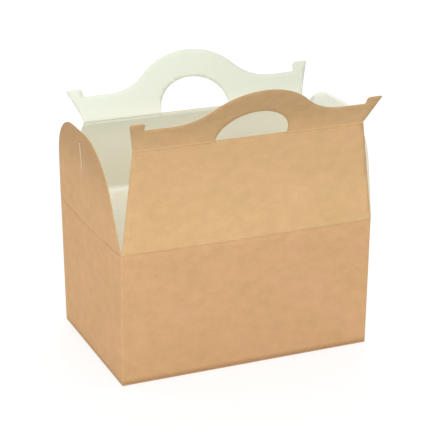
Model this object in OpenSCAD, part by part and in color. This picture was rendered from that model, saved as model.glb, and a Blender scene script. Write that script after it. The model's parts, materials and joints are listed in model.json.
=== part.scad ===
// Folding meal carton of kraft board, standing open with its handles raised

/* [Carton] */
// Outside length, left to right
length = 220; // [160:1:280]
// Outside depth at the base, front to back
depth = 140; // [110:1:154]
// Height of the creases on top of the walls
wall_h = 114; // [80:1:160]
// How far the rear wall leans back at its crease
rear_lean = 8; // [0:0.5:12]
// Thickness of the board
board_t = 0.45; // [0.3:0.05:0.7]
// Opening left in the board at a crease, clear of the panel that turns there
crease_gap = 0.25; // [0.2:0.05:0.5]
// Clearance between the side edges of neighbouring panels
side_gap = 0.35; // [0.3:0.05:1]

/* [Roof panels] */
// Slope length of a roof panel, from wall crease to handle crease
roof_len = 83; // [82:1:110]
// How far the shoulders of a roof panel stand in from its foot
shoulder_in = 10; // [6:0.5:20]
// Inward lean of the front roof panel from upright, in degrees
front_roof_lean = 1; // [-20:1:25]
// Inward lean of the rear roof panel from upright, in degrees
rear_roof_lean = 27; // [0:1:32]

/* [Handles] */
// Height of a handle's crown above its crease
crown_h = 52; // [46:1:60]
// Radius of the crown
crown_r = 56; // [48:1:70]
// Radius of the hollow curve between crown and shelf
blend_r = 46; // [30:1:56]
// Height of the shelf beside the crown
shelf_h = 22; // [16:1:26]
// Half width of the hand hole
hole_half = 31; // [24:1:36]
// Height of the hand hole
hole_h = 28.5; // [20:0.5:34]
// Height of the ears above the shelf
ear_rise = 7.5; // [4:0.5:14]
// How far an ear's tip stands out beyond the shoulder
ear_out = 8; // [4:0.2:9]
// Width of an ear across its top
ear_w = 13; // [8:0.5:16]
// Outward lean of the front handle from upright, in degrees
front_handle_lean = 31; // [0:1:40]
// Outward lean of the rear handle from upright, in degrees
rear_handle_lean = 33; // [0:1:35]

/* [End flaps] */
// Outward lean of the left end flap from upright, in degrees
left_flap_lean = 5; // [0:1:30]
// Outward lean of the right end flap from upright, in degrees
right_flap_lean = 2; // [0:1:30]
// Inward lean of an end flap when its slit is over the ears, in degrees
hooked_lean = 7.5; // [4:0.5:8]
// Inward slope of a flap's side edges, in degrees
flap_taper = 14.6; // [8:0.1:18]
// Radius of a flap's top corners
flap_corner_r = 50; // [30:1:54]
// Width of the slit
slit_w = 2; // [1.8:0.1:3]
// Spare length of the slit above the ears
slit_spare = 1; // [0.5:0.1:3]
// Board left above the slit
flap_above_slit = 11; // [8:0.5:20]

/* [Bottom and glue flap] */
// Width of the glue flap
glue_w = 15; // [8:1:25]
// Glue flap's distance from the bottom and from the crease
glue_end = 3; // [2:0.5:8]
// Reach of the end bottom flaps over the long ones
bottom_reach = 62; // [40:1:70]
// Cut-back at the corners of the end bottom flaps
bottom_cut = 24; // [10:1:40]
// Half width of the bottom's locking tongue
tongue_half = 32; // [20:1:36]
// Reach of the tongue past the middle
tongue_reach = 16; // [12:1:30]
// Width of the cut between the long bottom flaps
bottom_seam = 0.4; // [0.3:0.05:1]

/* [Hidden] */

kraft = "#d4a97c";
arc_steps = 24;

// How far a cut runs past the board that it cuts
cut_over = 1;

// Slant of the tongue's sides, and how far the strip over it reaches past it
tongue_slope = 6;
strip_over = 6;

// Distance from a crease axis to the edge of the board below it
crease_open = board_t / 2 + crease_gap;
wall_top = wall_h - crease_open;
corner_in = board_t + side_gap;

// The mouth of the carton at crease height, between the board's middle planes
front_crease_y = -depth / 2 + board_t / 2;
rear_crease_y = depth / 2 + rear_lean - board_t / 2;
mouth_mid_y = rear_lean / 2;

// Roof panels and handles
foot_half = length / 2 - corner_in;
shoulder_half = foot_half - shoulder_in;
roof_end = roof_len - crease_open;
roof_end_half = foot_half - shoulder_in * roof_end / roof_len;
ear_h = shelf_h + ear_rise;
ear_half = shoulder_half + ear_out;
ear_inner = ear_half - ear_w;
ear_tip_r = 1.2;
ear_inner_r = 2.5;
notch_r = 1.5;
crown_y = crown_h - crown_r;
blend_y = shelf_h + blend_r;
blend_x = sqrt(pow(crown_r + blend_r, 2) - pow(blend_y - crown_y, 2));
blend_angle = atan2(blend_y - crown_y, blend_x);

// Height of the closed ridge above the wall creases, where both roof panels meet
handle_gap = 0.35;
half_span = (rear_crease_y - front_crease_y - board_t - handle_gap) / 2;
ridge_rise = sqrt(pow(roof_len, 2) - pow(half_span, 2));

// Height on an ear at which its outer edge meets a hooked flap
ear_crossing = (length / 2 - board_t - shoulder_half - ridge_rise * tan(hooked_lean))
    / (ear_out / ear_h + tan(hooked_lean));

// End flaps: the slit takes both sets of ears when the roof is closed
flap_half = (depth + rear_lean) / 2 - corner_in;
slit_low = (ridge_rise + ear_crossing / 2) / cos(hooked_lean);
slit_high = (ridge_rise + ear_h) / cos(hooked_lean) + slit_spare;
flap_h = slit_high + flap_above_slit;
flap_corner_x = flap_half - (flap_h - flap_corner_r) * tan(flap_taper)
    - flap_corner_r / cos(flap_taper);

// A round stretch of an outline, from one angle to another
function arc(x, y, r, from, to) =
    [for (i = [0:arc_steps]) let (a = from + (to - from) * i / arc_steps)
        [x + r * cos(a), y + r * sin(a)]];

// The same points on the other side of the middle, in the order that closes an outline
function mirrored(points) =
    [for (i = [len(points) - 1:-1:0]) [-points[i][0], points[i][1]]];

// Faces of the rear wall at a height above the base
function rear_outer_y(z) = depth / 2 + rear_lean * z / wall_h;
function rear_inner_y(z) = rear_outer_y(z) - board_t;

module roof_outline() {
    polygon([[-foot_half, 0], [foot_half, 0], [roof_end_half, roof_end], [-roof_end_half, roof_end]]);
}

module handle_outline() {
    edge_angle = -atan2(ear_out, ear_h);
    right_half = concat(
        [[shoulder_half, 0]],
        arc(ear_half - ear_tip_r * 1.3, ear_h - ear_tip_r, ear_tip_r, edge_angle, 90),
        arc(ear_inner + ear_inner_r, ear_h - ear_inner_r, ear_inner_r, 90, 180),
        arc(ear_inner - notch_r, shelf_h + notch_r, notch_r, 0, -90),
        arc(blend_x, blend_y, blend_r, -90, blend_angle - 180),
        arc(0, crown_y, crown_r, blend_angle, 90));
    polygon(concat(right_half, mirrored(right_half)));
}

// The hand hole runs down to the handle crease, where the roof panel closes it
module hole_outline() {
    polygon(concat([[hole_half, -cut_over]],
        [for (i = [0:arc_steps]) [hole_half * cos(180 * i / arc_steps), hole_h * sin(180 * i / arc_steps)]],
        [[-hole_half, -cut_over]]));
}

module flap_outline() {
    right_half = concat([[flap_half, 0]],
        arc(flap_corner_x, flap_h - flap_corner_r, flap_corner_r, flap_taper, 90));
    polygon(concat(right_half, mirrored(right_half)));
}

module slit_outline() {
    translate([-slit_w / 2, slit_low]) square([slit_w, slit_high - slit_low]);
}

// Stands a flat outline on a wall crease: side is -1 at the front and 1 at the rear
module on_wall_crease(side, lean) {
    crease_y = side < 0 ? front_crease_y : rear_crease_y;
    translate([0, crease_y, wall_h]) rotate([90 + side * lean, 0, 0]) children();
}

// Stands a flat outline on a handle crease, folded outwards from the roof panel
module on_handle_crease(side, roof_lean, handle_lean) {
    on_wall_crease(side, roof_lean) translate([0, roof_len, 0])
        rotate([-side * (roof_lean + handle_lean), 0, 0]) children();
}

module board() {
    linear_extrude(height = board_t, center = true) children();
}

// Extrudes a front-to-back section along the carton's length
module along_length(size) {
    rotate([90, 0, 90]) linear_extrude(height = size, center = true) children();
}

// Walls and floor as one tray: the rear wall leans back
module walls() {
    above = wall_top + cut_over;
    difference() {
        along_length(length) polygon([[-depth / 2, 0], [depth / 2, 0],
            [rear_outer_y(wall_top), wall_top], [-depth / 2, wall_top]]);
        along_length(length - 2 * board_t) polygon([[-depth / 2 + board_t, board_t],
            [rear_inner_y(board_t), board_t], [rear_inner_y(above), above], [-depth / 2 + board_t, above]]);
    }
}

// The cut between the two long bottom flaps, stepped around the locking tongue
module bottom_cut_line() {
    inner_half = length / 2 - board_t;
    path = [[-inner_half, 0], [-tongue_half, 0], [-tongue_half + tongue_slope, tongue_reach],
        [tongue_half - tongue_slope, tongue_reach], [tongue_half, 0], [inner_half, 0]];
    back = [for (i = [len(path) - 1:-1:0]) path[i] + [0, bottom_seam]];
    translate([0, 0, -cut_over]) linear_extrude(height = board_t + cut_over) polygon(concat(path, back));
}

// End bottom flap glued over the long ones
module bottom_end_flap(side) {
    reach_x = length / 2 - board_t;
    half = depth / 2 - board_t;
    translate([0, 0, board_t]) linear_extrude(height = board_t)
        polygon([[side * reach_x, -half], [side * (reach_x - bottom_reach), -half + bottom_cut],
            [side * (reach_x - bottom_reach), half - bottom_cut], [side * reach_x, half]]);
}

// Strip of the rear bottom flap that holds the tongue down
module tongue_strip() {
    translate([-tongue_half - strip_over, -strip_over, board_t])
        cube([2 * (tongue_half + strip_over), tongue_reach + 2 * strip_over, board_t]);
}

// Flap of the right wall, glued to the inside of the rear wall
module glue_flap() {
    low = 2 * board_t + glue_end;
    high = wall_top - glue_end;
    centre_x = length / 2 - board_t - glue_w / 2;
    translate([centre_x, 0, 0]) along_length(glue_w)
        polygon([[rear_inner_y(low) - board_t, low], [rear_inner_y(low), low],
            [rear_inner_y(high), high], [rear_inner_y(high) - board_t, high]]);
}

module carton() {
    color(kraft) union() {
        difference() {
            walls();
            bottom_cut_line();
        }
        bottom_end_flap(-1);
        bottom_end_flap(1);
        tongue_strip();
        glue_flap();
    }
}

module roof(side, lean) {
    color(kraft) on_wall_crease(side, lean) board() roof_outline();
}

module handle(side, roof_lean, handle_lean) {
    color(kraft) on_handle_crease(side, roof_lean, handle_lean) board() difference() {
        handle_outline();
        hole_outline();
    }
}

// End flap: side is -1 at the left and 1 at the right
module end_flap(side, lean) {
    color(kraft) translate([side * (length / 2 - board_t / 2), mouth_mid_y, wall_h])
        rotate([0, side * lean, 0]) rotate([90, 0, 90]) board() difference() {
            flap_outline();
            slit_outline();
        }
}

module front_roof() {
    roof(-1, front_roof_lean);
}

module rear_roof() {
    roof(1, rear_roof_lean);
}

module front_handle() {
    handle(-1, front_roof_lean, front_handle_lean);
}

module rear_handle() {
    handle(1, rear_roof_lean, rear_handle_lean);
}

module left_end_flap() {
    end_flap(-1, left_flap_lean);
}

module right_end_flap() {
    end_flap(1, right_flap_lean);
}

carton();
front_roof();
rear_roof();
front_handle();
rear_handle();
left_end_flap();
right_end_flap();
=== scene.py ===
import json
import math

import bpy
import numpy as np
from mathutils import Matrix, Vector
from mathutils.geometry import delaunay_2d_cdt


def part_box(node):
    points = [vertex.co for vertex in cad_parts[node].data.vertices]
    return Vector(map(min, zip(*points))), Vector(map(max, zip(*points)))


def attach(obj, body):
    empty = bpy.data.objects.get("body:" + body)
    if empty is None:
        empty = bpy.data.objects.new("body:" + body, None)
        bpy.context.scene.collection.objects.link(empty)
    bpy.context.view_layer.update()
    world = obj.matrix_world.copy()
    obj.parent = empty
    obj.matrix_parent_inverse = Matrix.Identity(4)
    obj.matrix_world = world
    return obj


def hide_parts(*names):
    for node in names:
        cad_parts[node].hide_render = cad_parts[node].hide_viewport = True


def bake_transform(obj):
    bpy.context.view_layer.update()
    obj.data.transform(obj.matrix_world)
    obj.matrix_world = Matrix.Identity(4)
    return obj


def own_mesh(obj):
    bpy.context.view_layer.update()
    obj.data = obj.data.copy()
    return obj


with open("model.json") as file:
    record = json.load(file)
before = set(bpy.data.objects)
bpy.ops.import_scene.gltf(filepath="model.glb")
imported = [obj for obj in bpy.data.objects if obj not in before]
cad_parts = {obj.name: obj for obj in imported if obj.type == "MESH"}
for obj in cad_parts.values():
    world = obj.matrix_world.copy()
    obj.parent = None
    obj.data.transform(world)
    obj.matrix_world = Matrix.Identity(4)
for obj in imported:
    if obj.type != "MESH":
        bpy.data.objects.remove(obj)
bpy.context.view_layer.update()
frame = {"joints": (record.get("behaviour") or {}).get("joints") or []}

# The looks of a folded kraft board carton. Lengths are in metres, angles in degrees.
# On a panel, u runs along its crease and v is the distance past the crease.
MM = 0.001

# The carton's sheet of board. The ridge is counted up the flat sheet, and a wall's place is that of the
# middle of its board, at the foot.
LENGTH = 220 * MM
DEPTH = 140 * MM
WALL_H = 114 * MM
REAR_LEAN = 8 * MM
BOARD = 0.45 * MM
SIDE_GAP = 0.35 * MM
CORNER_IN = BOARD + SIDE_GAP
FOOT_HALF = LENGTH / 2 - CORNER_IN
SHOULDER_IN = 10 * MM
SHOULDER_HALF = FOOT_HALF - SHOULDER_IN
ROOF_LEN = 83 * MM
RIDGE = WALL_H + ROOF_LEN
END_WALL_X = LENGTH / 2 - BOARD / 2
LONG_WALL_Y = DEPTH / 2 - BOARD / 2

# Handles
CROWN_H = 52 * MM
CROWN_R = 56 * MM
BLEND_R = 46 * MM
SHELF_H = 22 * MM
HOLE_HALF = 31 * MM
HOLE_H = 28.5 * MM
EAR_H = SHELF_H + 7.5 * MM
EAR_OUT = 8 * MM
EAR_W = 13 * MM
EAR_TIP_R = 1.2 * MM
EAR_TIP_IN = 1.3 * EAR_TIP_R
EAR_INNER_R = 2.5 * MM
NOTCH_R = 1.5 * MM
TAB_BELOW = 0.1 * MM
TAB_SIDE_GAP = 0.15 * MM
HANDLE_LEAN = {"front": 31, "rear": 33}

# End flaps, whose slits gape a little
FLAP_HALF = (DEPTH + REAR_LEAN) / 2 - CORNER_IN
FLAP_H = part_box("right_end_flap")[1].z - WALL_H
FLAP_CORNER_R = 50 * MM
FLAP_TAPER = 14.6
FLAP_LEAN = {"left": 5, "right": 2}
HOOKED_LEAN = 7.5
SLIT_W = 3 * MM
FLAP_ABOVE_SLIT = 11 * MM

# Bottom flaps and glue flap
GLUE_W = 15 * MM
GLUE_END = 3 * MM
GLUE_LAYER = 0.01 * MM
BOTTOM_REACH = 62 * MM
BOTTOM_CUT = 24 * MM
TONGUE_HALF = 32 * MM
TONGUE_REACH = 16 * MM
TONGUE_SLOPE = 6 * MM
STRIP_OVER = 6 * MM
BOTTOM_SEAM = 0.4 * MM

# How the board folds: a crease takes a seam's width on each side of its line, and its score line is
# a groove in the outer face
SEAM = 1.5 * MM
FOLD_R = 1.0 * MM
BOTTOM_FOLD_R = 1.2 * MM
CORNER_R = 1.0 * MM
CORNER_STEPS = 6
GROOVE = 0.02 * MM
GROOVE_W = 0.45 * MM

# Spacing of the points in walls and roof panels, in shaped panels and in hidden flaps, and how far those
# points keep from an outline and from a fold, as shares of the spacing
STEP = 5 * MM
FINE_STEP = 4 * MM
COARSE_STEP = 8 * MM
OUTLINE_CLEAR = 0.35
ROW_CLEAR = 1 / 3
# Points this near each other are one place. The triangulation works in millimetres.
SAME_PLACE = 0.01 * MM
WELD_IN_MM = 1e-4

# How far the board bows outwards: at the crease, and halfway up the wall besides. The first bow grows
# faster towards the crease. A roof panel keeps none of it at its top, and an end flap a part.
BOW_GROWTH = 1.5
FLAP_BOW_KEPT = 0.4
BOWS = {
    "front": (2.2 * MM, 0.9 * MM),
    "rear": (1.0 * MM, 0.6 * MM),
    "left": (2.2 * MM, 0.8 * MM),
    "right": (1.6 * MM, 0.8 * MM),
}
# The rear panels stand a little askew, by the rack at the ridge, and their handle is twisted. At the
# twist's reach from its middle it leaves its plane by the twist times its height, and its middle hangs
# inwards by the belly times its height. All of it eases in from the start, just past the crease.
REAR_RACK = 1 * MM
TWIST = 0.34
TWIST_BELLY = 0.04
TWIST_REACH = 100 * MM
TWIST_START = 2 * MM
TWIST_EASE = 9 * MM

X = Vector((1, 0, 0))
Y = Vector((0, 1, 0))
Z = Vector((0, 0, 1))
UP_REAR_WALL = Vector((0, REAR_LEAN, WALL_H)).normalized()
CREASE = {joint["name"]: Vector(joint["pos_m"]) for joint in frame["joints"]}


# Flat outlines

def arc(x, y, radius, start, stop, steps=24):
    """Points of a round stretch of an outline, from one angle to another."""
    angles = [math.radians(start + (stop - start) * i / steps) for i in range(steps + 1)]
    return [(x + radius * math.cos(a), y + radius * math.sin(a)) for a in angles]


def with_mirror(half):
    """Closes an outline with the same points on the other side of the middle."""
    return half + [(-u, v) for u, v in reversed(half)]


def roof_outline():
    """Roof panel between its two creases, with the tab that closes the hand hole from below."""
    end = ROOF_LEN - SEAM
    end_half = FOOT_HALF - SHOULDER_IN * end / ROOF_LEN
    hole_edge = ROOF_LEN - TAB_BELOW
    tab_half = HOLE_HALF - TAB_SIDE_GAP
    return with_mirror([(FOOT_HALF, -SEAM), (FOOT_HALF, 0), (end_half, end), (tab_half, end),
                        (tab_half, hole_edge)])


def handle_outline():
    """Arched handle with its ears, from the crease strip up."""
    ear_half = SHOULDER_HALF + EAR_OUT
    ear_inner = ear_half - EAR_W
    edge_angle = -math.degrees(math.atan2(EAR_OUT, EAR_H))
    crown_y = CROWN_H - CROWN_R
    blend_y = SHELF_H + BLEND_R
    blend_x = math.sqrt((CROWN_R + BLEND_R) ** 2 - (blend_y - crown_y) ** 2)
    blend_angle = math.degrees(math.atan2(blend_y - crown_y, blend_x))
    strip_half = SHOULDER_HALF + SHOULDER_IN * SEAM / ROOF_LEN
    half = [(strip_half, -SEAM), (SHOULDER_HALF, 0)]
    half += arc(ear_half - EAR_TIP_IN, EAR_H - EAR_TIP_R, EAR_TIP_R, edge_angle, 90, steps=8)
    half += arc(ear_inner + EAR_INNER_R, EAR_H - EAR_INNER_R, EAR_INNER_R, 90, 180, steps=10)
    half += arc(ear_inner - NOTCH_R, SHELF_H + NOTCH_R, NOTCH_R, 0, -90, steps=8)
    half += arc(blend_x, blend_y, BLEND_R, -90, blend_angle - 180)
    half += arc(0, crown_y, CROWN_R, blend_angle, 90)
    return with_mirror(half)


def hole_outline():
    """Half ellipse of the hand hole, open at the crease."""
    below = 2 * SEAM
    steps = 48
    angles = [math.pi * i / steps for i in range(steps + 1)]
    curve = [(HOLE_HALF * math.cos(a), HOLE_H * math.sin(a)) for a in angles]
    return [(HOLE_HALF, -below)] + curve + [(-HOLE_HALF, -below)]


def flap_outline():
    """End flap with tapered sides and round corners."""
    taper = math.radians(FLAP_TAPER)
    corner_y = FLAP_H - FLAP_CORNER_R
    corner_x = FLAP_HALF - corner_y * math.tan(taper) - FLAP_CORNER_R / math.cos(taper)
    half = [(FLAP_HALF, -SEAM), (FLAP_HALF, 0)]
    half += arc(corner_x, corner_y, FLAP_CORNER_R, FLAP_TAPER, 90, steps=32)
    return with_mirror(half)


def slit_outline():
    """The slit that hooks over the ears."""
    high = FLAP_H - FLAP_ABOVE_SLIT
    mouth = CREASE["rear_roof_crease"].y - CREASE["front_roof_crease"].y
    half_span = (mouth - BOARD - SIDE_GAP) / 2
    ridge_rise = math.sqrt(ROOF_LEN ** 2 - half_span ** 2)
    hooked = math.radians(HOOKED_LEAN)
    inward = LENGTH / 2 - BOARD - SHOULDER_HALF - ridge_rise * math.tan(hooked)
    crossing = inward / (EAR_OUT / EAR_H + math.tan(hooked))
    low = (ridge_rise + crossing / 2) / math.cos(hooked)
    w = SLIT_W / 2
    return [(-w, low), (w, low), (w, high), (-w, high)]


def long_bottom_outline(front):
    """Long bottom flap: the front one ends in the locking tongue, the rear one has its recess."""
    half = LENGTH / 2 - 2 * BOARD
    near = LONG_WALL_Y - BOTTOM_SEAM / 2
    far = near + (TONGUE_REACH if front else -TONGUE_REACH)
    return [(-half, -BOTTOM_FOLD_R), (half, -BOTTOM_FOLD_R), (half, near), (TONGUE_HALF, near),
            (TONGUE_HALF - TONGUE_SLOPE, far), (-TONGUE_HALF + TONGUE_SLOPE, far),
            (-TONGUE_HALF, near), (-half, near)]


def end_bottom_outline():
    """End bottom flap with its corners cut back."""
    half = DEPTH / 2 - 2 * BOARD
    return with_mirror([(half, -BOTTOM_FOLD_R), (half, 0), (half - BOTTOM_CUT, BOTTOM_REACH)])


# Triangles of a flat outline

def resample(loop, step):
    """The closed outline with its long edges cut into steps."""
    points = []
    for a, b in zip(loop, loop[1:] + loop[:1]):
        count = max(1, math.ceil(math.dist(a, b) / step))
        points += [(a[0] + (b[0] - a[0]) * k / count, a[1] + (b[1] - a[1]) * k / count)
                   for k in range(count)]
    return points


def inside(points, loop):
    """Whether each point lies inside the outline."""
    x, y = points[:, 0], points[:, 1]
    result = np.zeros(len(points), bool)
    for (x1, y1), (x2, y2) in zip(loop, loop[1:] + loop[:1]):
        if y1 == y2:
            continue
        crosses = (y1 > y) != (y2 > y)
        result ^= crosses & (x < x1 + (y - y1) * (x2 - x1) / (y2 - y1))
    return result


def clear_of(points, loop, margin):
    """Whether each point keeps a margin from the outline."""
    clear = np.ones(len(points), bool)
    for a, b in zip(loop, loop[1:] + loop[:1]):
        a, edge = np.array(a), np.array(b) - np.array(a)
        square = max(edge @ edge, SAME_PLACE ** 2)
        share = np.clip((points - a) @ edge / square, 0, 1)
        clear &= np.linalg.norm(points - a - share[:, None] * edge, axis=1) > margin
    return clear


def triangulate(outline, holes, rows, step=STEP):
    """Flat points and triangles of an outline with holes, with rows of points at the folds."""
    loops = [resample(loop, step) for loop in [outline] + holes]
    low, high = np.min(loops[0], axis=0), np.max(loops[0], axis=0)
    columns = np.arange(low[0] + step / 2, high[0], step)
    levels = [v for v in np.arange(low[1] + step, high[1], step)
              if all(abs(v - row) > ROW_CLEAR * step for row in rows)]
    grid = np.array([(u, v) for v in levels for u in columns])
    for loop in loops:
        grid = grid[clear_of(grid, loop, OUTLINE_CLEAR * step)]
    fold = np.array([(u, v) for v in rows for u in columns]).reshape(-1, 2)
    points, edges = [], []
    for loop in loops:
        first, count = len(points), len(loop)
        points += loop
        edges += [(first + i, first + (i + 1) % count) for i in range(count)]
    for row in rows:
        edges.append((len(points), len(points) + 1))
        points += [(low[0] - step, row), (high[0] + step, row)]
    points += [tuple(p) for p in grid] + [tuple(p) for p in fold]
    flat = [Vector((u / MM, v / MM)) for u, v in points]
    found, _, faces, _, _, _ = delaunay_2d_cdt(flat, edges, [], 0, WELD_IN_MM)
    flat = np.array([tuple(p) for p in found]) * MM
    faces = np.array([tuple(f) for f in faces])
    middles = flat[faces].mean(axis=1)
    kept = inside(middles, loops[0])
    for loop in loops[1:]:
        kept &= ~inside(middles, loop)
    return flat, faces[kept]


# Board made from flat triangles

class Folded:
    """Board that folds at a crease: u runs along it, and v is the distance past it."""

    def __init__(self, crease, along, before, after, radius=FOLD_R, bow=None, shift=None, scored=(0,)):
        self.crease, self.along = crease, along
        self.before, self.after = before.normalized(), after.normalized()
        self.radius = radius
        self.bow = bow or (lambda u, v: 0)
        self.shift = shift or (lambda u, v: 0)
        self.scored = scored

    def place(self, u, v):
        """Point of the board's middle plane and its outward normal."""
        share = min(1, max(0, (v + self.radius) / (2 * self.radius)))
        direction = (self.before * (1 - share) + self.after * share).normalized()
        if share == 0:
            point = self.crease + self.before * v
        elif share == 1:
            point = self.crease + self.after * v
        else:
            start = self.crease - self.before * self.radius
            stop = self.crease + self.after * self.radius
            point = start * (1 - share) ** 2 + self.crease * 2 * share * (1 - share) + stop * share ** 2
        normal = self.along.cross(direction)
        point = point + self.along * (u + self.shift(u, v)) + normal * self.bow(u, v)
        return point, normal

    def groove(self, v):
        """Depth of the pressed score line at a distance past the crease."""
        return GROOVE * sum(math.exp(-((v - line) / GROOVE_W) ** 2) for line in self.scored)


OUTER_FACE, INNER_FACE, CUT_EDGE = range(3)


def open_edges(faces):
    """The edges that only one face has, in that face's direction."""
    directed = [(a, b) for face in faces for a, b in zip(face, face[1:] + face[:1])]
    present = set(directed)
    return [(a, b) for a, b in directed if (b, a) not in present]


def thick_board(name, outer, inner, faces, rim, coordinates, materials):
    """A board of real thickness: outer face, inner face and cut edges each have their material."""
    count = len(outer)
    polygons = list(faces)
    polygons += [tuple(i + count for i in reversed(face)) for face in faces]
    polygons += [(a, a + count, b + count, b) for a, b in rim]
    kinds = [OUTER_FACE] * len(faces) + [INNER_FACE] * len(faces) + [CUT_EDGE] * len(rim)
    return mesh_object(name, outer + inner, polygons, kinds, coordinates * 2, materials)


def board_object(name, flat, faces, shape, sheet, materials, seam=None):
    """A flat board set in its folded shape.

    The board has no cut edge along a seam, the row at which it goes on in another piece.
    """
    used = np.unique(faces)
    number = {old: new for new, old in enumerate(used)}
    faces = [tuple(number[i] for i in f) for f in faces]
    outer, inner, coordinates = [], [], []
    for u, v in flat[used]:
        point, normal = shape.place(u, v)
        outer.append(point + normal * (BOARD / 2 - shape.groove(v)))
        inner.append(point - normal * BOARD / 2)
        coordinates.append(sheet(u, v))
    rim = open_edges(faces)
    if seam is not None:
        at_seam = np.abs(flat[used][:, 1] - seam) < SAME_PLACE
        rim = [(a, b) for a, b in rim if not (at_seam[a] and at_seam[b])]
    return thick_board(name, outer, inner, faces, rim, coordinates, materials)


def mesh_object(name, points, polygons, kinds, coordinates, materials):
    """Mesh whose faces know their material and whose points know their place on the flat sheet."""
    mesh = bpy.data.meshes.new(name)
    mesh.from_pydata(points, [], polygons)
    mesh.polygons.foreach_set("material_index", kinds)
    mesh.polygons.foreach_set("use_smooth", [kind != CUT_EDGE for kind in kinds])
    attribute = mesh.attributes.new("sheet", "FLOAT_VECTOR", "POINT")
    attribute.data.foreach_set("vector", [c for s, t in coordinates for c in (s, t, 0)])
    for material in materials:
        mesh.materials.append(material)
    mesh.update()
    piece = bpy.data.objects.new(name, mesh)
    bpy.context.scene.collection.objects.link(piece)
    return piece


# Bows and places on the flat sheet

def half_width(side):
    """Half the width of a wall."""
    return LENGTH / 2 if side in ("front", "rear") else DEPTH / 2


def wall_bow(side, along, height):
    """How far a wall bows outwards, from nothing at the base and at its two ends."""
    crease_bow, belly = BOWS[side]
    rise = max(0, min(1, height / WALL_H))
    across = max(0, 1 - (along / half_width(side)) ** 2)
    return across * (crease_bow * rise ** BOW_GROWTH + belly * math.sin(math.pi * rise))


def panel_bow(side, half, length, kept):
    """Bow of a panel above a wall crease: the wall's own at the crease, less further up."""
    def bow(u, v):
        if v < 0:
            return wall_bow(side, u * half_width(side) / half, WALL_H + v)
        across = max(0, 1 - (u / half) ** 2)
        return BOWS[side][0] * across * (1 - (1 - kept) * v / length)
    return bow


# Where the middle of each panel lies along the flat sheet
SHEET_MIDDLE = {
    "front": 0,
    "left": -(LENGTH + DEPTH) / 2,
    "right": (LENGTH + DEPTH) / 2,
    "rear": -(LENGTH + DEPTH),
}


def on_sheet(side, start, sign=1):
    """Place on the flat sheet for a panel that starts at a height on it and goes up or down from there."""
    return lambda u, v: (SHEET_MIDDLE[side] + u, start + sign * v)


def leaning(direction, lean):
    """A direction that leans away from upright by an angle."""
    angle = math.radians(lean)
    return Z * math.cos(angle) + direction * math.sin(angle)


# Materials

def add_node(tree, kind, inputs=None, **settings):
    """Adds a shader node, with its settings and with values or links for its inputs."""
    node = tree.nodes.new(kind)
    for key, value in settings.items():
        setattr(node, key, value)
    for key, value in (inputs or {}).items():
        if isinstance(value, bpy.types.NodeSocket):
            tree.links.new(value, node.inputs[key])
        else:
            node.inputs[key].default_value = value
    return node


def linear(red, green, blue):
    """A colour as the eye reads it, 0 to 255, as the linear colour that a shader takes."""
    parts = [c / 255 for c in (red, green, blue)]
    return [c / 12.92 if c <= 0.04045 else ((c + 0.055) / 1.055) ** 2.4 for c in parts] + [1]


# Grain of the paper: cells in a metre along the flat sheet and up it, lowest and highest value, detail,
# and the roughness where it isn't the usual one
KRAFT_CLOUDS = ((20, 26), 0, 1, 3.0)
KRAFT_MOTTLE = ((90, 120), 0.95, 1.045, 4.0)
KRAFT_FIBRES = ((300, 1100), 0.955, 1.04, 5.0, 0.65)
KRAFT_THREADS = ((1400, 420), 0.975, 1.025, 4.0, 0.6)
WHITE_CLOUDS = ((20, 26), 0, 1, 2.0)
WHITE_GRAIN = ((500, 900), 0.99, 1.01, 3.0)
EDGE_FIBRES = ((900, 900), 0.9, 1.06, 4.0)
TOOTH = ((900, 1500), 0, 1, 4.0)
COCKLE = ((60, 45), 0, 1, 2.0)
COCKLE_SHARE = 4.0
BUMP_H = 0.02 * MM

# Nearly all of a noise lies in this range
NOISE_LOW, NOISE_HIGH = 0.3, 0.7

# Specks: their cells in a metre, the radii at which one begins and has faded, its strength in the
# middle, the share of cells that have none, and their colour
SPECK_CELLS = (90, 90)
SPECK_RADII = (0.03, 0.07)
SPECK_STRENGTH = 0.6
CELLS_WITHOUT_SPECK = 0.93
SPECK_COLOUR = linear(232, 205, 170)


def scaled_sheet(tree, along, up):
    """The place on the flat sheet, scaled along and up it."""
    place = add_node(tree, "ShaderNodeAttribute", attribute_name="sheet")
    return add_node(tree, "ShaderNodeVectorMath", {0: place.outputs["Vector"], 1: (along, up, 1)},
                    operation="MULTIPLY").outputs[0]


def value_band(tree, value, start, stop, low, high, **settings):
    """A value between start and stop, spread from low to high."""
    return add_node(tree, "ShaderNodeMapRange", {"Value": value, "From Min": start, "From Max": stop,
                                                 "To Min": low, "To Max": high}, **settings).outputs[0]


def noise_band(tree, cells, low, high, detail, roughness=0.55):
    """Noise on the flat sheet, spread from low to high."""
    noise = add_node(tree, "ShaderNodeTexNoise", {"Vector": scaled_sheet(tree, *cells), "Scale": 1.0,
                                                  "Detail": detail, "Roughness": roughness})
    return value_band(tree, noise.outputs["Fac"], NOISE_LOW, NOISE_HIGH, low, high)


def up_sheet(tree, start, stop, low, high):
    """A value that changes softly up the flat sheet, from one height on it to another."""
    place = add_node(tree, "ShaderNodeAttribute", attribute_name="sheet")
    height = add_node(tree, "ShaderNodeSeparateXYZ", {0: place.outputs["Vector"]}).outputs[1]
    return value_band(tree, height, start, stop, low, high, interpolation_type="SMOOTHSTEP")


def product(tree, *values):
    """The product of several values."""
    result = values[0]
    for value in values[1:]:
        result = add_node(tree, "ShaderNodeMath", {0: result, 1: value}, operation="MULTIPLY").outputs[0]
    return result


def tinted(tree, colour, factor):
    """A colour made lighter or darker by a factor."""
    return add_node(tree, "ShaderNodeVectorMath", {0: colour, "Scale": factor},
                    operation="SCALE").outputs[0]


def mixed(tree, factor, first, second):
    """A mix of two colours."""
    return add_node(tree, "ShaderNodeMix", {0: factor, 6: first, 7: second}, data_type="RGBA").outputs[2]


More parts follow.
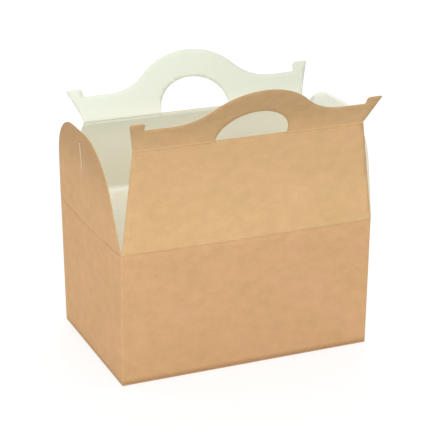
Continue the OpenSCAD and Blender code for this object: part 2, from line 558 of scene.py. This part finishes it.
def paper_material(name, roughness):
    """An empty paper material: its tree and its shader."""
    material = bpy.data.materials.new(name)
    material.use_nodes = True
    tree = material.node_tree
    tree.nodes.clear()
    shader = add_node(tree, "ShaderNodeBsdfPrincipled",
                      {"Roughness": roughness, "Specular IOR Level": 0.2})
    add_node(tree, "ShaderNodeOutputMaterial", {"Surface": shader.outputs[0]})
    return material, tree, shader


def add_bump(tree, shader, strength):
    """The fine tooth of paper: fibres in two directions and soft cockle."""
    tooth = noise_band(tree, *TOOTH)
    cockle = noise_band(tree, *COCKLE)
    height = add_node(tree, "ShaderNodeMath", {0: cockle, 1: COCKLE_SHARE, 2: tooth},
                      operation="MULTIPLY_ADD").outputs[0]
    bump = add_node(tree, "ShaderNodeBump", {"Height": height, "Strength": strength, "Distance": BUMP_H})
    tree.links.new(bump.outputs[0], shader.inputs["Normal"])


def pale_specks(tree):
    """Rare small specks: the middles of a few cells of a coarse cell pattern."""
    cells = add_node(tree, "ShaderNodeTexVoronoi", {"Vector": scaled_sheet(tree, *SPECK_CELLS),
                                                    "Scale": 1.0})
    close = value_band(tree, cells.outputs["Distance"], *SPECK_RADII, SPECK_STRENGTH, 0.0)
    parts = add_node(tree, "ShaderNodeSeparateColor", {"Color": cells.outputs["Color"]})
    chosen = add_node(tree, "ShaderNodeMath", {0: parts.outputs[0], 1: CELLS_WITHOUT_SPECK},
                      operation="GREATER_THAN").outputs[0]
    return product(tree, close, chosen)


def kraft_material(name, colour, second, start, stop, low, high):
    """Kraft liner: soft clouds between two browns, fibres along and across, a few pale specks.

    Its tone changes from low to high between two heights on the flat sheet, which is painted light and
    shade.
    """
    material, tree, shader = paper_material(name, roughness=0.8)
    clouds = mixed(tree, noise_band(tree, *KRAFT_CLOUDS), colour, second)
    mottle = noise_band(tree, *KRAFT_MOTTLE)
    fibres = noise_band(tree, *KRAFT_FIBRES)
    threads = noise_band(tree, *KRAFT_THREADS)
    # The grain times the painted light and shade up the sheet.
    shade = product(tree, mottle, fibres, threads, up_sheet(tree, start, stop, low, high))
    paper = mixed(tree, pale_specks(tree), tinted(tree, clouds, shade), SPECK_COLOUR)
    tree.links.new(paper, shader.inputs["Base Color"])
    add_bump(tree, shader, strength=0.5)
    return material


def white_material(name, top, start, stop):
    """White clay-coated inside: nearly even, with a faint grain and a cooler, darker tone towards its top,
    which is painted light.
    """
    material, tree, shader = paper_material(name, roughness=0.7)
    clouds = mixed(tree, noise_band(tree, *WHITE_CLOUDS), linear(254, 250, 236), linear(253, 250, 238))
    # Painted light: up the sheet the white blends into the cooler, darker top colour.
    colour = mixed(tree, up_sheet(tree, start, stop, 0.0, 1.0), clouds, top)
    grain = noise_band(tree, *WHITE_GRAIN)
    tree.links.new(tinted(tree, colour, grain), shader.inputs["Base Color"])
    add_bump(tree, shader, strength=0.25)
    return material


def edge_material():
    """Cut edge: brown fibres of the board's core."""
    material, tree, shader = paper_material("cut_edge", roughness=0.9)
    fibres = noise_band(tree, *EDGE_FIBRES)
    tree.links.new(tinted(tree, linear(206, 174, 132)[:3], fibres), shader.inputs["Base Color"])
    return material


# The top colours paint light: the white of the handles and of the end flaps turns cooler and darker
# towards its top.
WHITE = white_material("white_inside_painted_light", top=linear(222, 226, 211), start=RIDGE - 30 * MM,
                       stop=RIDGE + 18 * MM)
FLAP_WHITE_PAINTED_LIGHT = white_material("white_flap_painted_light", top=linear(243, 246, 236), start=WALL_H, stop=WALL_H + 40 * MM)
EDGE = edge_material()
# Wall kraft: faintly lighter at the foot and darker towards the crease at its top, which is painted shade.
WALL_KRAFT_PAINTED_SHADE = kraft_material("kraft_wall_painted_shade", linear(213, 169, 126), linear(206, 166, 119),
                            start=0.0, stop=WALL_H, low=1.01, high=0.99)
# Roof kraft: a yellower, brighter copy of the wall's kraft, which paints bounce light, lighter just above
# the crease and darker towards the ridge, which is painted light and shade.
ROOF_KRAFT_PAINTED_LIGHT_AND_SHADE = kraft_material("kraft_roof_painted_light_and_shade", linear(214, 175, 130), linear(206, 170, 122),
                            start=WALL_H + 10 * MM, stop=RIDGE, low=1.05, high=0.94)
# Flap kraft: darker towards its top, which is painted shade.
FLAP_KRAFT_PAINTED_SHADE = kraft_material("kraft_flap_painted_shade", linear(212, 171, 127), linear(206, 166, 120),
                            start=WALL_H + 20 * MM, stop=WALL_H + 75 * MM, low=1.0, high=0.78)
# Handle kraft: the roof's yellower tint, which paints bounce light, and darker towards its top where it
# leans outwards, which is painted shade.
HANDLE_KRAFT_PAINTED_LIGHT_AND_SHADE = kraft_material("kraft_handle_painted_light_and_shade", linear(212, 175, 131), linear(207, 171, 124),
                              start=RIDGE, stop=RIDGE + 32 * MM, low=1.0, high=0.82)
WALL_BOARD = (WALL_KRAFT_PAINTED_SHADE, WHITE, EDGE)
ROOF_BOARD = (ROOF_KRAFT_PAINTED_LIGHT_AND_SHADE, WHITE, EDGE)
HANDLE_BOARD = (HANDLE_KRAFT_PAINTED_LIGHT_AND_SHADE, WHITE, EDGE)
FLAP_BOARD = (FLAP_KRAFT_PAINTED_SHADE, FLAP_WHITE_PAINTED_LIGHT, EDGE)


# Carton: walls in one folded strip, bottom flaps and glue flap

def corner_arc(centre, start):
    """Middle line of a folded corner, turning a quarter to the left."""
    angles = [math.radians(start + 90 * i / CORNER_STEPS) for i in range(CORNER_STEPS + 1)]
    return [(centre[0] + CORNER_R * math.cos(a), centre[1] + CORNER_R * math.sin(a),
             math.cos(a), math.sin(a)) for a in angles]


def straight(start, stop, normal, side, height, middle):
    """Middle line of a wall between two corners, bowed outwards."""
    count = math.ceil(2 * half_width(side) / STEP)
    run = []
    for i in range(1, count):
        x = start[0] + (stop[0] - start[0]) * i / count
        y = start[1] + (stop[1] - start[1]) * i / count
        along = x if side in ("front", "rear") else y - middle
        bow = wall_bow(side, along, height)
        run.append((x + normal[0] * bow, y + normal[1] * bow, normal[0], normal[1]))
    return run


def wall_line(height):
    """Middle line round the four walls at a height, from the glued rear corner and back to it."""
    half = END_WALL_X
    front = CREASE["front_roof_crease"].y
    rear = LONG_WALL_Y + REAR_LEAN * height / WALL_H
    middle = (front + rear) / 2
    inner = half - CORNER_R
    low, high = front + CORNER_R, rear - CORNER_R
    glued = rear - BOARD
    line = [(half - BOARD / 2, rear, 0, 1)]
    line += straight((half, rear), (-inner, rear), (0, 1), "rear", height, middle)
    line += corner_arc((-inner, high), 90)
    line += straight((-half, high), (-half, low), (-1, 0), "left", height, middle)
    line += corner_arc((-inner, low), 180)
    line += straight((-inner, front), (inner, front), (0, -1), "front", height, middle)
    line += corner_arc((inner, low), 270)
    line += straight((half, low), (half, glued - CORNER_R), (1, 0), "right", height, middle)
    line += corner_arc((inner, glued - CORNER_R), 0)
    return line


def wall_strip():
    """The four walls as one strip of board."""
    bottom, top = BOTTOM_FOLD_R, WALL_H - SEAM
    count = math.ceil((top - bottom) / STEP)
    heights = [bottom + (top - bottom) * i / count for i in range(count + 1)]
    lines = [wall_line(height) for height in heights]
    foot = lines[0]
    columns = len(foot)
    reach = np.cumsum([0] + [math.dist(a[:2], b[:2]) for a, b in zip(foot, foot[1:])])
    front = min(range(columns), key=lambda i: foot[i][3])
    front_middle = reach[front] - foot[front][0]
    outer, inner, coordinates = [], [], []
    for height, line in zip(heights, lines):
        for i, (x, y, nx, ny) in enumerate(line):
            normal = Vector((nx, ny, 0))
            point = Vector((x, y, height))
            outer.append(point + normal * BOARD / 2)
            inner.append(point - normal * BOARD / 2)
            coordinates.append((reach[i] - front_middle, height))
    cells = [(r * columns + c, r * columns + c + 1, (r + 1) * columns + c + 1, (r + 1) * columns + c)
             for r in range(count) for c in range(columns - 1)]
    return thick_board("carton_walls", outer, inner, cells, open_edges(cells), coordinates, WALL_BOARD)


def bottom_flap(name, side, outline, layer):
    """A bottom flap with its fold at the foot of its wall."""
    height = (layer + 0.5) * BOARD
    crease, along, before, after = {
        "front": (Vector((0, -LONG_WALL_Y, height)), -X, -Z, Y),
        "rear": (Vector((0, LONG_WALL_Y, height)), X, -UP_REAR_WALL, -Y),
        "left": (Vector((-END_WALL_X, 0, height)), Y, -Z, X),
        "right": (Vector((END_WALL_X, 0, height)), -Y, -Z, -X),
    }[side]
    shape = Folded(crease, along, before, after, BOTTOM_FOLD_R - height)
    rows = [shape.radius * share for share in (-1, -0.5, 0, 0.5, 1)]
    flat, faces = triangulate(outline, [], rows, COARSE_STEP)
    return board_object(name, flat, faces, shape, on_sheet(side, 0, -1), WALL_BOARD)


def tongue_strip():
    """Strip of the rear bottom flap that holds the tongue down."""
    half = TONGUE_HALF + STRIP_OVER
    width = TONGUE_REACH + 2 * STRIP_OVER
    outline = [(-half, 0), (half, 0), (half, width), (-half, width)]
    corner = Vector((0, TONGUE_REACH + STRIP_OVER, 1.5 * BOARD))
    shape = Folded(corner, X, -Y, -Y, scored=())
    flat, faces = triangulate(outline, [], [], COARSE_STEP)
    return board_object("tongue_strip", flat, faces, shape, on_sheet("rear", 0, -1), WALL_BOARD)


def glue_flap():
    """Flap of the right wall, glued to the inside of the rear wall."""
    low = 2 * BOARD + GLUE_END
    high = WALL_H - SEAM - GLUE_END
    start = END_WALL_X - CORNER_R
    stop = LENGTH / 2 - BOARD - GLUE_W
    cut = 2 * GLUE_END
    outline = [(-start, low), (-start, high), (-stop, high - cut), (-stop, low + cut)][::-1]
    corner = Vector((0, LONG_WALL_Y - BOARD, 0))
    shape = Folded(corner, -X, UP_REAR_WALL, UP_REAR_WALL, scored=(),
                   bow=lambda u, v: wall_bow("rear", u, v) - GLUE_LAYER)
    flat, faces = triangulate(outline, [], [], FINE_STEP)
    return board_object("glue_flap", flat, faces, shape, on_sheet("rear", 0), WALL_BOARD)


def build_carton():
    """Everything that stays with the carton's body."""
    pieces = [wall_strip(), tongue_strip(), glue_flap()]
    pieces.append(bottom_flap("front_bottom_flap", "front", long_bottom_outline(True), 0))
    pieces.append(bottom_flap("rear_bottom_flap", "rear", long_bottom_outline(False), 0))
    pieces.append(bottom_flap("left_bottom_flap", "left", end_bottom_outline(), 1))
    pieces.append(bottom_flap("right_bottom_flap", "right", end_bottom_outline(), 1))
    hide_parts("carton")
    for piece in pieces:
        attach(piece, "carton")


# Panels folded at their creases

FOLD_ROWS = [-SEAM] + [FOLD_R * share for share in (-1, -0.67, -0.33, 0, 0.33, 0.67, 1)] + [SEAM]


def bend_with(piece):
    """Bakes a piece's transform into its mesh."""
    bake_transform(piece)


def panel_directions(side):
    """Directions up the wall, the roof panel and the handle on one side."""
    sign = -1 if side == "front" else 1
    roof_crease = CREASE[side + "_roof_crease"]
    handle_crease = CREASE[side + "_handle_crease"]
    wall = Z if side == "front" else UP_REAR_WALL
    roof = (handle_crease - roof_crease).normalized()
    return wall, roof, leaning(Y * sign, HANDLE_LEAN[side])


def rack(side):
    """Sideways slant of the rear panels."""
    if side == "front":
        return lambda u, v: 0
    return lambda u, v: REAR_RACK * max(0, v) / ROOF_LEN


def build_roof(side):
    """Roof panel with its crease on the wall."""
    wall, roof, _ = panel_directions(side)
    along = X if side == "front" else -X
    shape = Folded(CREASE[side + "_roof_crease"], along, wall, roof,
                   bow=panel_bow(side, FOOT_HALF, ROOF_LEN, 0), shift=rack(side))
    flat, faces = triangulate(roof_outline(), [], FOLD_ROWS)
    piece = board_object(side + "_roof_panel", flat, faces, shape, on_sheet(side, WALL_H), ROOF_BOARD)
    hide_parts(side + "_roof")
    bend_with(piece)


def twist(u, v):
    """Bow of the rear handle: one end stands further out than the other."""
    rise = max(0, v - TWIST_START)
    share = rise ** 2 / (rise + TWIST_EASE)
    across = u / TWIST_REACH
    return share * (TWIST * across - TWIST_BELLY * (1 - across ** 2))


def build_front_handle():
    """Front handle with its crease on the roof panel."""
    _, roof, handle = panel_directions("front")
    shape = Folded(CREASE["front_handle_crease"], X, roof, handle)
    flat, faces = triangulate(handle_outline(), [hole_outline()], FOLD_ROWS, FINE_STEP)
    piece = board_object("front_handle_panel", flat, faces, shape,
                         on_sheet("front", RIDGE), HANDLE_BOARD)
    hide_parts("front_handle")
    bend_with(piece)


def build_rear_handle():
    """Rear handle: a crease strip in its folded shape, and a twisted panel held by the rear handle's body.
    """
    _, roof, handle = panel_directions("rear")
    shape = Folded(CREASE["rear_handle_crease"], -X, roof, handle, bow=twist,
                   shift=lambda u, v: REAR_RACK)
    rows = FOLD_ROWS + [TWIST_START + TWIST_EASE * share for share in (0, 0.15, 0.35, 0.6, 0.9)]
    flat, faces = triangulate(handle_outline(), [hole_outline()], rows, FINE_STEP)
    above = flat[faces].mean(axis=1)[:, 1] > TWIST_START
    sheet = on_sheet("rear", RIDGE)
    strip = board_object("rear_handle_crease_strip", flat, faces[~above], shape, sheet, HANDLE_BOARD,
                         TWIST_START)
    panel = board_object("rear_handle_panel", flat, faces[above], shape, sheet, HANDLE_BOARD, TWIST_START)
    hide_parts("rear_handle")
    bend_with(strip)
    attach(panel, "rear_handle")
    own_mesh(panel)


def build_end_flap(side):
    """End flap with its slit and its crease on the wall."""
    along = -Y if side == "left" else Y
    outward = -X if side == "left" else X
    shape = Folded(CREASE[side + "_flap_crease"], along, Z, leaning(outward, FLAP_LEAN[side]),
                   bow=panel_bow(side, FLAP_HALF, FLAP_H, FLAP_BOW_KEPT))
    flat, faces = triangulate(flap_outline(), [slit_outline()], FOLD_ROWS, FINE_STEP)
    piece = board_object(side + "_end_flap_panel", flat, faces, shape, on_sheet(side, WALL_H), FLAP_BOARD)
    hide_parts(side + "_end_flap")
    bend_with(piece)


# Floor, light and camera

FLOOR_HALF = 4.0
FLOOR_DROP = 0.2 * MM
FLOOR_COLOUR = (0.8, 0.8, 0.79, 1)
FLOOR_SHADOW = (0.3, 0.3, 0.3, 1)
FLOOR_GLOW = 0.72
AMBIENT_COLOUR = (1.0, 0.995, 0.98, 1)
AMBIENT = 0.71
WHITE_LIGHT = (1, 1, 1, 1)
LAMP_TARGET = Vector((0, 0, 0.1))


def white_to_camera(tree, plain, bright):
    """Shows a bright white to the camera and in gloss, and a plain surface to everything else."""
    path = add_node(tree, "ShaderNodeLightPath")
    seen = path.outputs["Is Camera Ray"]
    for ray in ("Is Glossy Ray", "Is Transmission Ray"):
        seen = add_node(tree, "ShaderNodeMath", {0: seen, 1: path.outputs[ray]},
                        operation="MAXIMUM").outputs[0]
    return add_node(tree, "ShaderNodeMixShader", {0: seen, 1: plain, 2: bright}).outputs[0]


def build_floor():
    """A plain pale floor that keeps a faint shadow of the box."""
    mesh = bpy.data.meshes.new("floor")
    corners = [(x * FLOOR_HALF, y * FLOOR_HALF, -FLOOR_DROP)
               for x, y in ((-1, -1), (1, -1), (1, 1), (-1, 1))]
    mesh.from_pydata(corners, [], [(0, 1, 2, 3)])
    material = bpy.data.materials.new("pale_floor")
    material.use_nodes = True
    tree = material.node_tree
    tree.nodes.clear()
    plain = add_node(tree, "ShaderNodeBsdfDiffuse", {"Color": FLOOR_COLOUR})
    shadowed = add_node(tree, "ShaderNodeBsdfDiffuse", {"Color": FLOOR_SHADOW})
    glow = add_node(tree, "ShaderNodeEmission", {"Color": WHITE_LIGHT, "Strength": FLOOR_GLOW})
    bright = add_node(tree, "ShaderNodeAddShader", {0: shadowed.outputs[0], 1: glow.outputs[0]})
    surface = white_to_camera(tree, plain.outputs[0], bright.outputs[0])
    add_node(tree, "ShaderNodeOutputMaterial", {"Surface": surface})
    mesh.materials.append(material)
    floor = bpy.data.objects.new("floor", mesh)
    bpy.context.scene.collection.objects.link(floor)


def build_world():
    """Even studio light from all round, seen as white by the camera."""
    world = bpy.data.worlds.new("studio")
    bpy.context.scene.world = world
    world.use_nodes = True
    tree = world.node_tree
    tree.nodes.clear()
    ambient = add_node(tree, "ShaderNodeBackground", {"Color": AMBIENT_COLOUR, "Strength": AMBIENT})
    white = add_node(tree, "ShaderNodeBackground", {"Color": WHITE_LIGHT, "Strength": 1.0})
    surface = white_to_camera(tree, ambient.outputs[0], white.outputs[0])
    add_node(tree, "ShaderNodeOutputWorld", {"Surface": surface})


def area_light(name, place, size, power):
    """A soft square lamp that faces the middle of the box."""
    lamp = bpy.data.lights.new(name, "AREA")
    lamp.size = size
    lamp.energy = power
    holder = bpy.data.objects.new(name, lamp)
    holder.location = place
    holder.rotation_euler = (LAMP_TARGET - Vector(place)).to_track_quat("-Z", "Y").to_euler()
    bpy.context.scene.collection.objects.link(holder)


def build_lights():
    """A broad lamp in front, a weaker one at the left, and one behind that shines into the box."""
    area_light("key_lamp", place=(-0.25, -1.1, 1.2), size=0.6, power=8)
    area_light("side_lamp", place=(-1.45, -0.4, 0.55), size=0.6, power=4)
    area_light("back_lamp", place=(0.35, 0.8, 1.4), size=0.7, power=7)


# The camera's place, found from the photograph's own perspective
CAMERA_YAW = math.radians(23.751)
CAMERA_PITCH = math.radians(20.9565)
CAMERA_ROLL = math.radians(-0.6996)
CAMERA_SENSOR = 36
PHOTO_WIDTH = 430
FOCAL_LENGTH_IN_PIXELS = 1599.5
CAMERA_LENS = CAMERA_SENSOR * FOCAL_LENGTH_IN_PIXELS / PHOTO_WIDTH
CAMERA_FAR = 6.10768 * LENGTH
CAMERA_RIGHT = -0.00009 * LENGTH
CAMERA_DOWN = 0.03129 * LENGTH
CAMERA_TARGET = Vector((0, 0, 0.45 * LENGTH))


def build_camera():
    """The photograph's viewpoint."""
    yaw, pitch, roll = CAMERA_YAW, CAMERA_PITCH, CAMERA_ROLL
    forward = Vector((math.sin(yaw) * math.cos(pitch), math.cos(yaw) * math.cos(pitch), -math.sin(pitch)))
    level = Vector((math.cos(yaw), -math.sin(yaw), 0))
    steep = forward.cross(level)
    right = level * math.cos(roll) + steep * math.sin(roll)
    down = steep * math.cos(roll) - level * math.sin(roll)
    place = CAMERA_TARGET - forward * CAMERA_FAR - right * CAMERA_RIGHT - down * CAMERA_DOWN
    data = bpy.data.cameras.new("camera")
    data.lens = CAMERA_LENS
    data.sensor_width = CAMERA_SENSOR
    camera = bpy.data.objects.new("camera", data)
    camera.matrix_world = Matrix((
        (right.x, -down.x, -forward.x, place.x),
        (right.y, -down.y, -forward.y, place.y),
        (right.z, -down.z, -forward.z, place.z),
        (0, 0, 0, 1)))
    bpy.context.scene.collection.objects.link(camera)
    bpy.context.scene.camera = camera


build_camera()
build_carton()
build_roof("front")
build_roof("rear")
build_front_handle()
build_rear_handle()
build_end_flap("left")
build_end_flap("right")
build_floor()
build_world()
build_lights()
bpy.context.scene.view_settings.view_transform = "Standard"
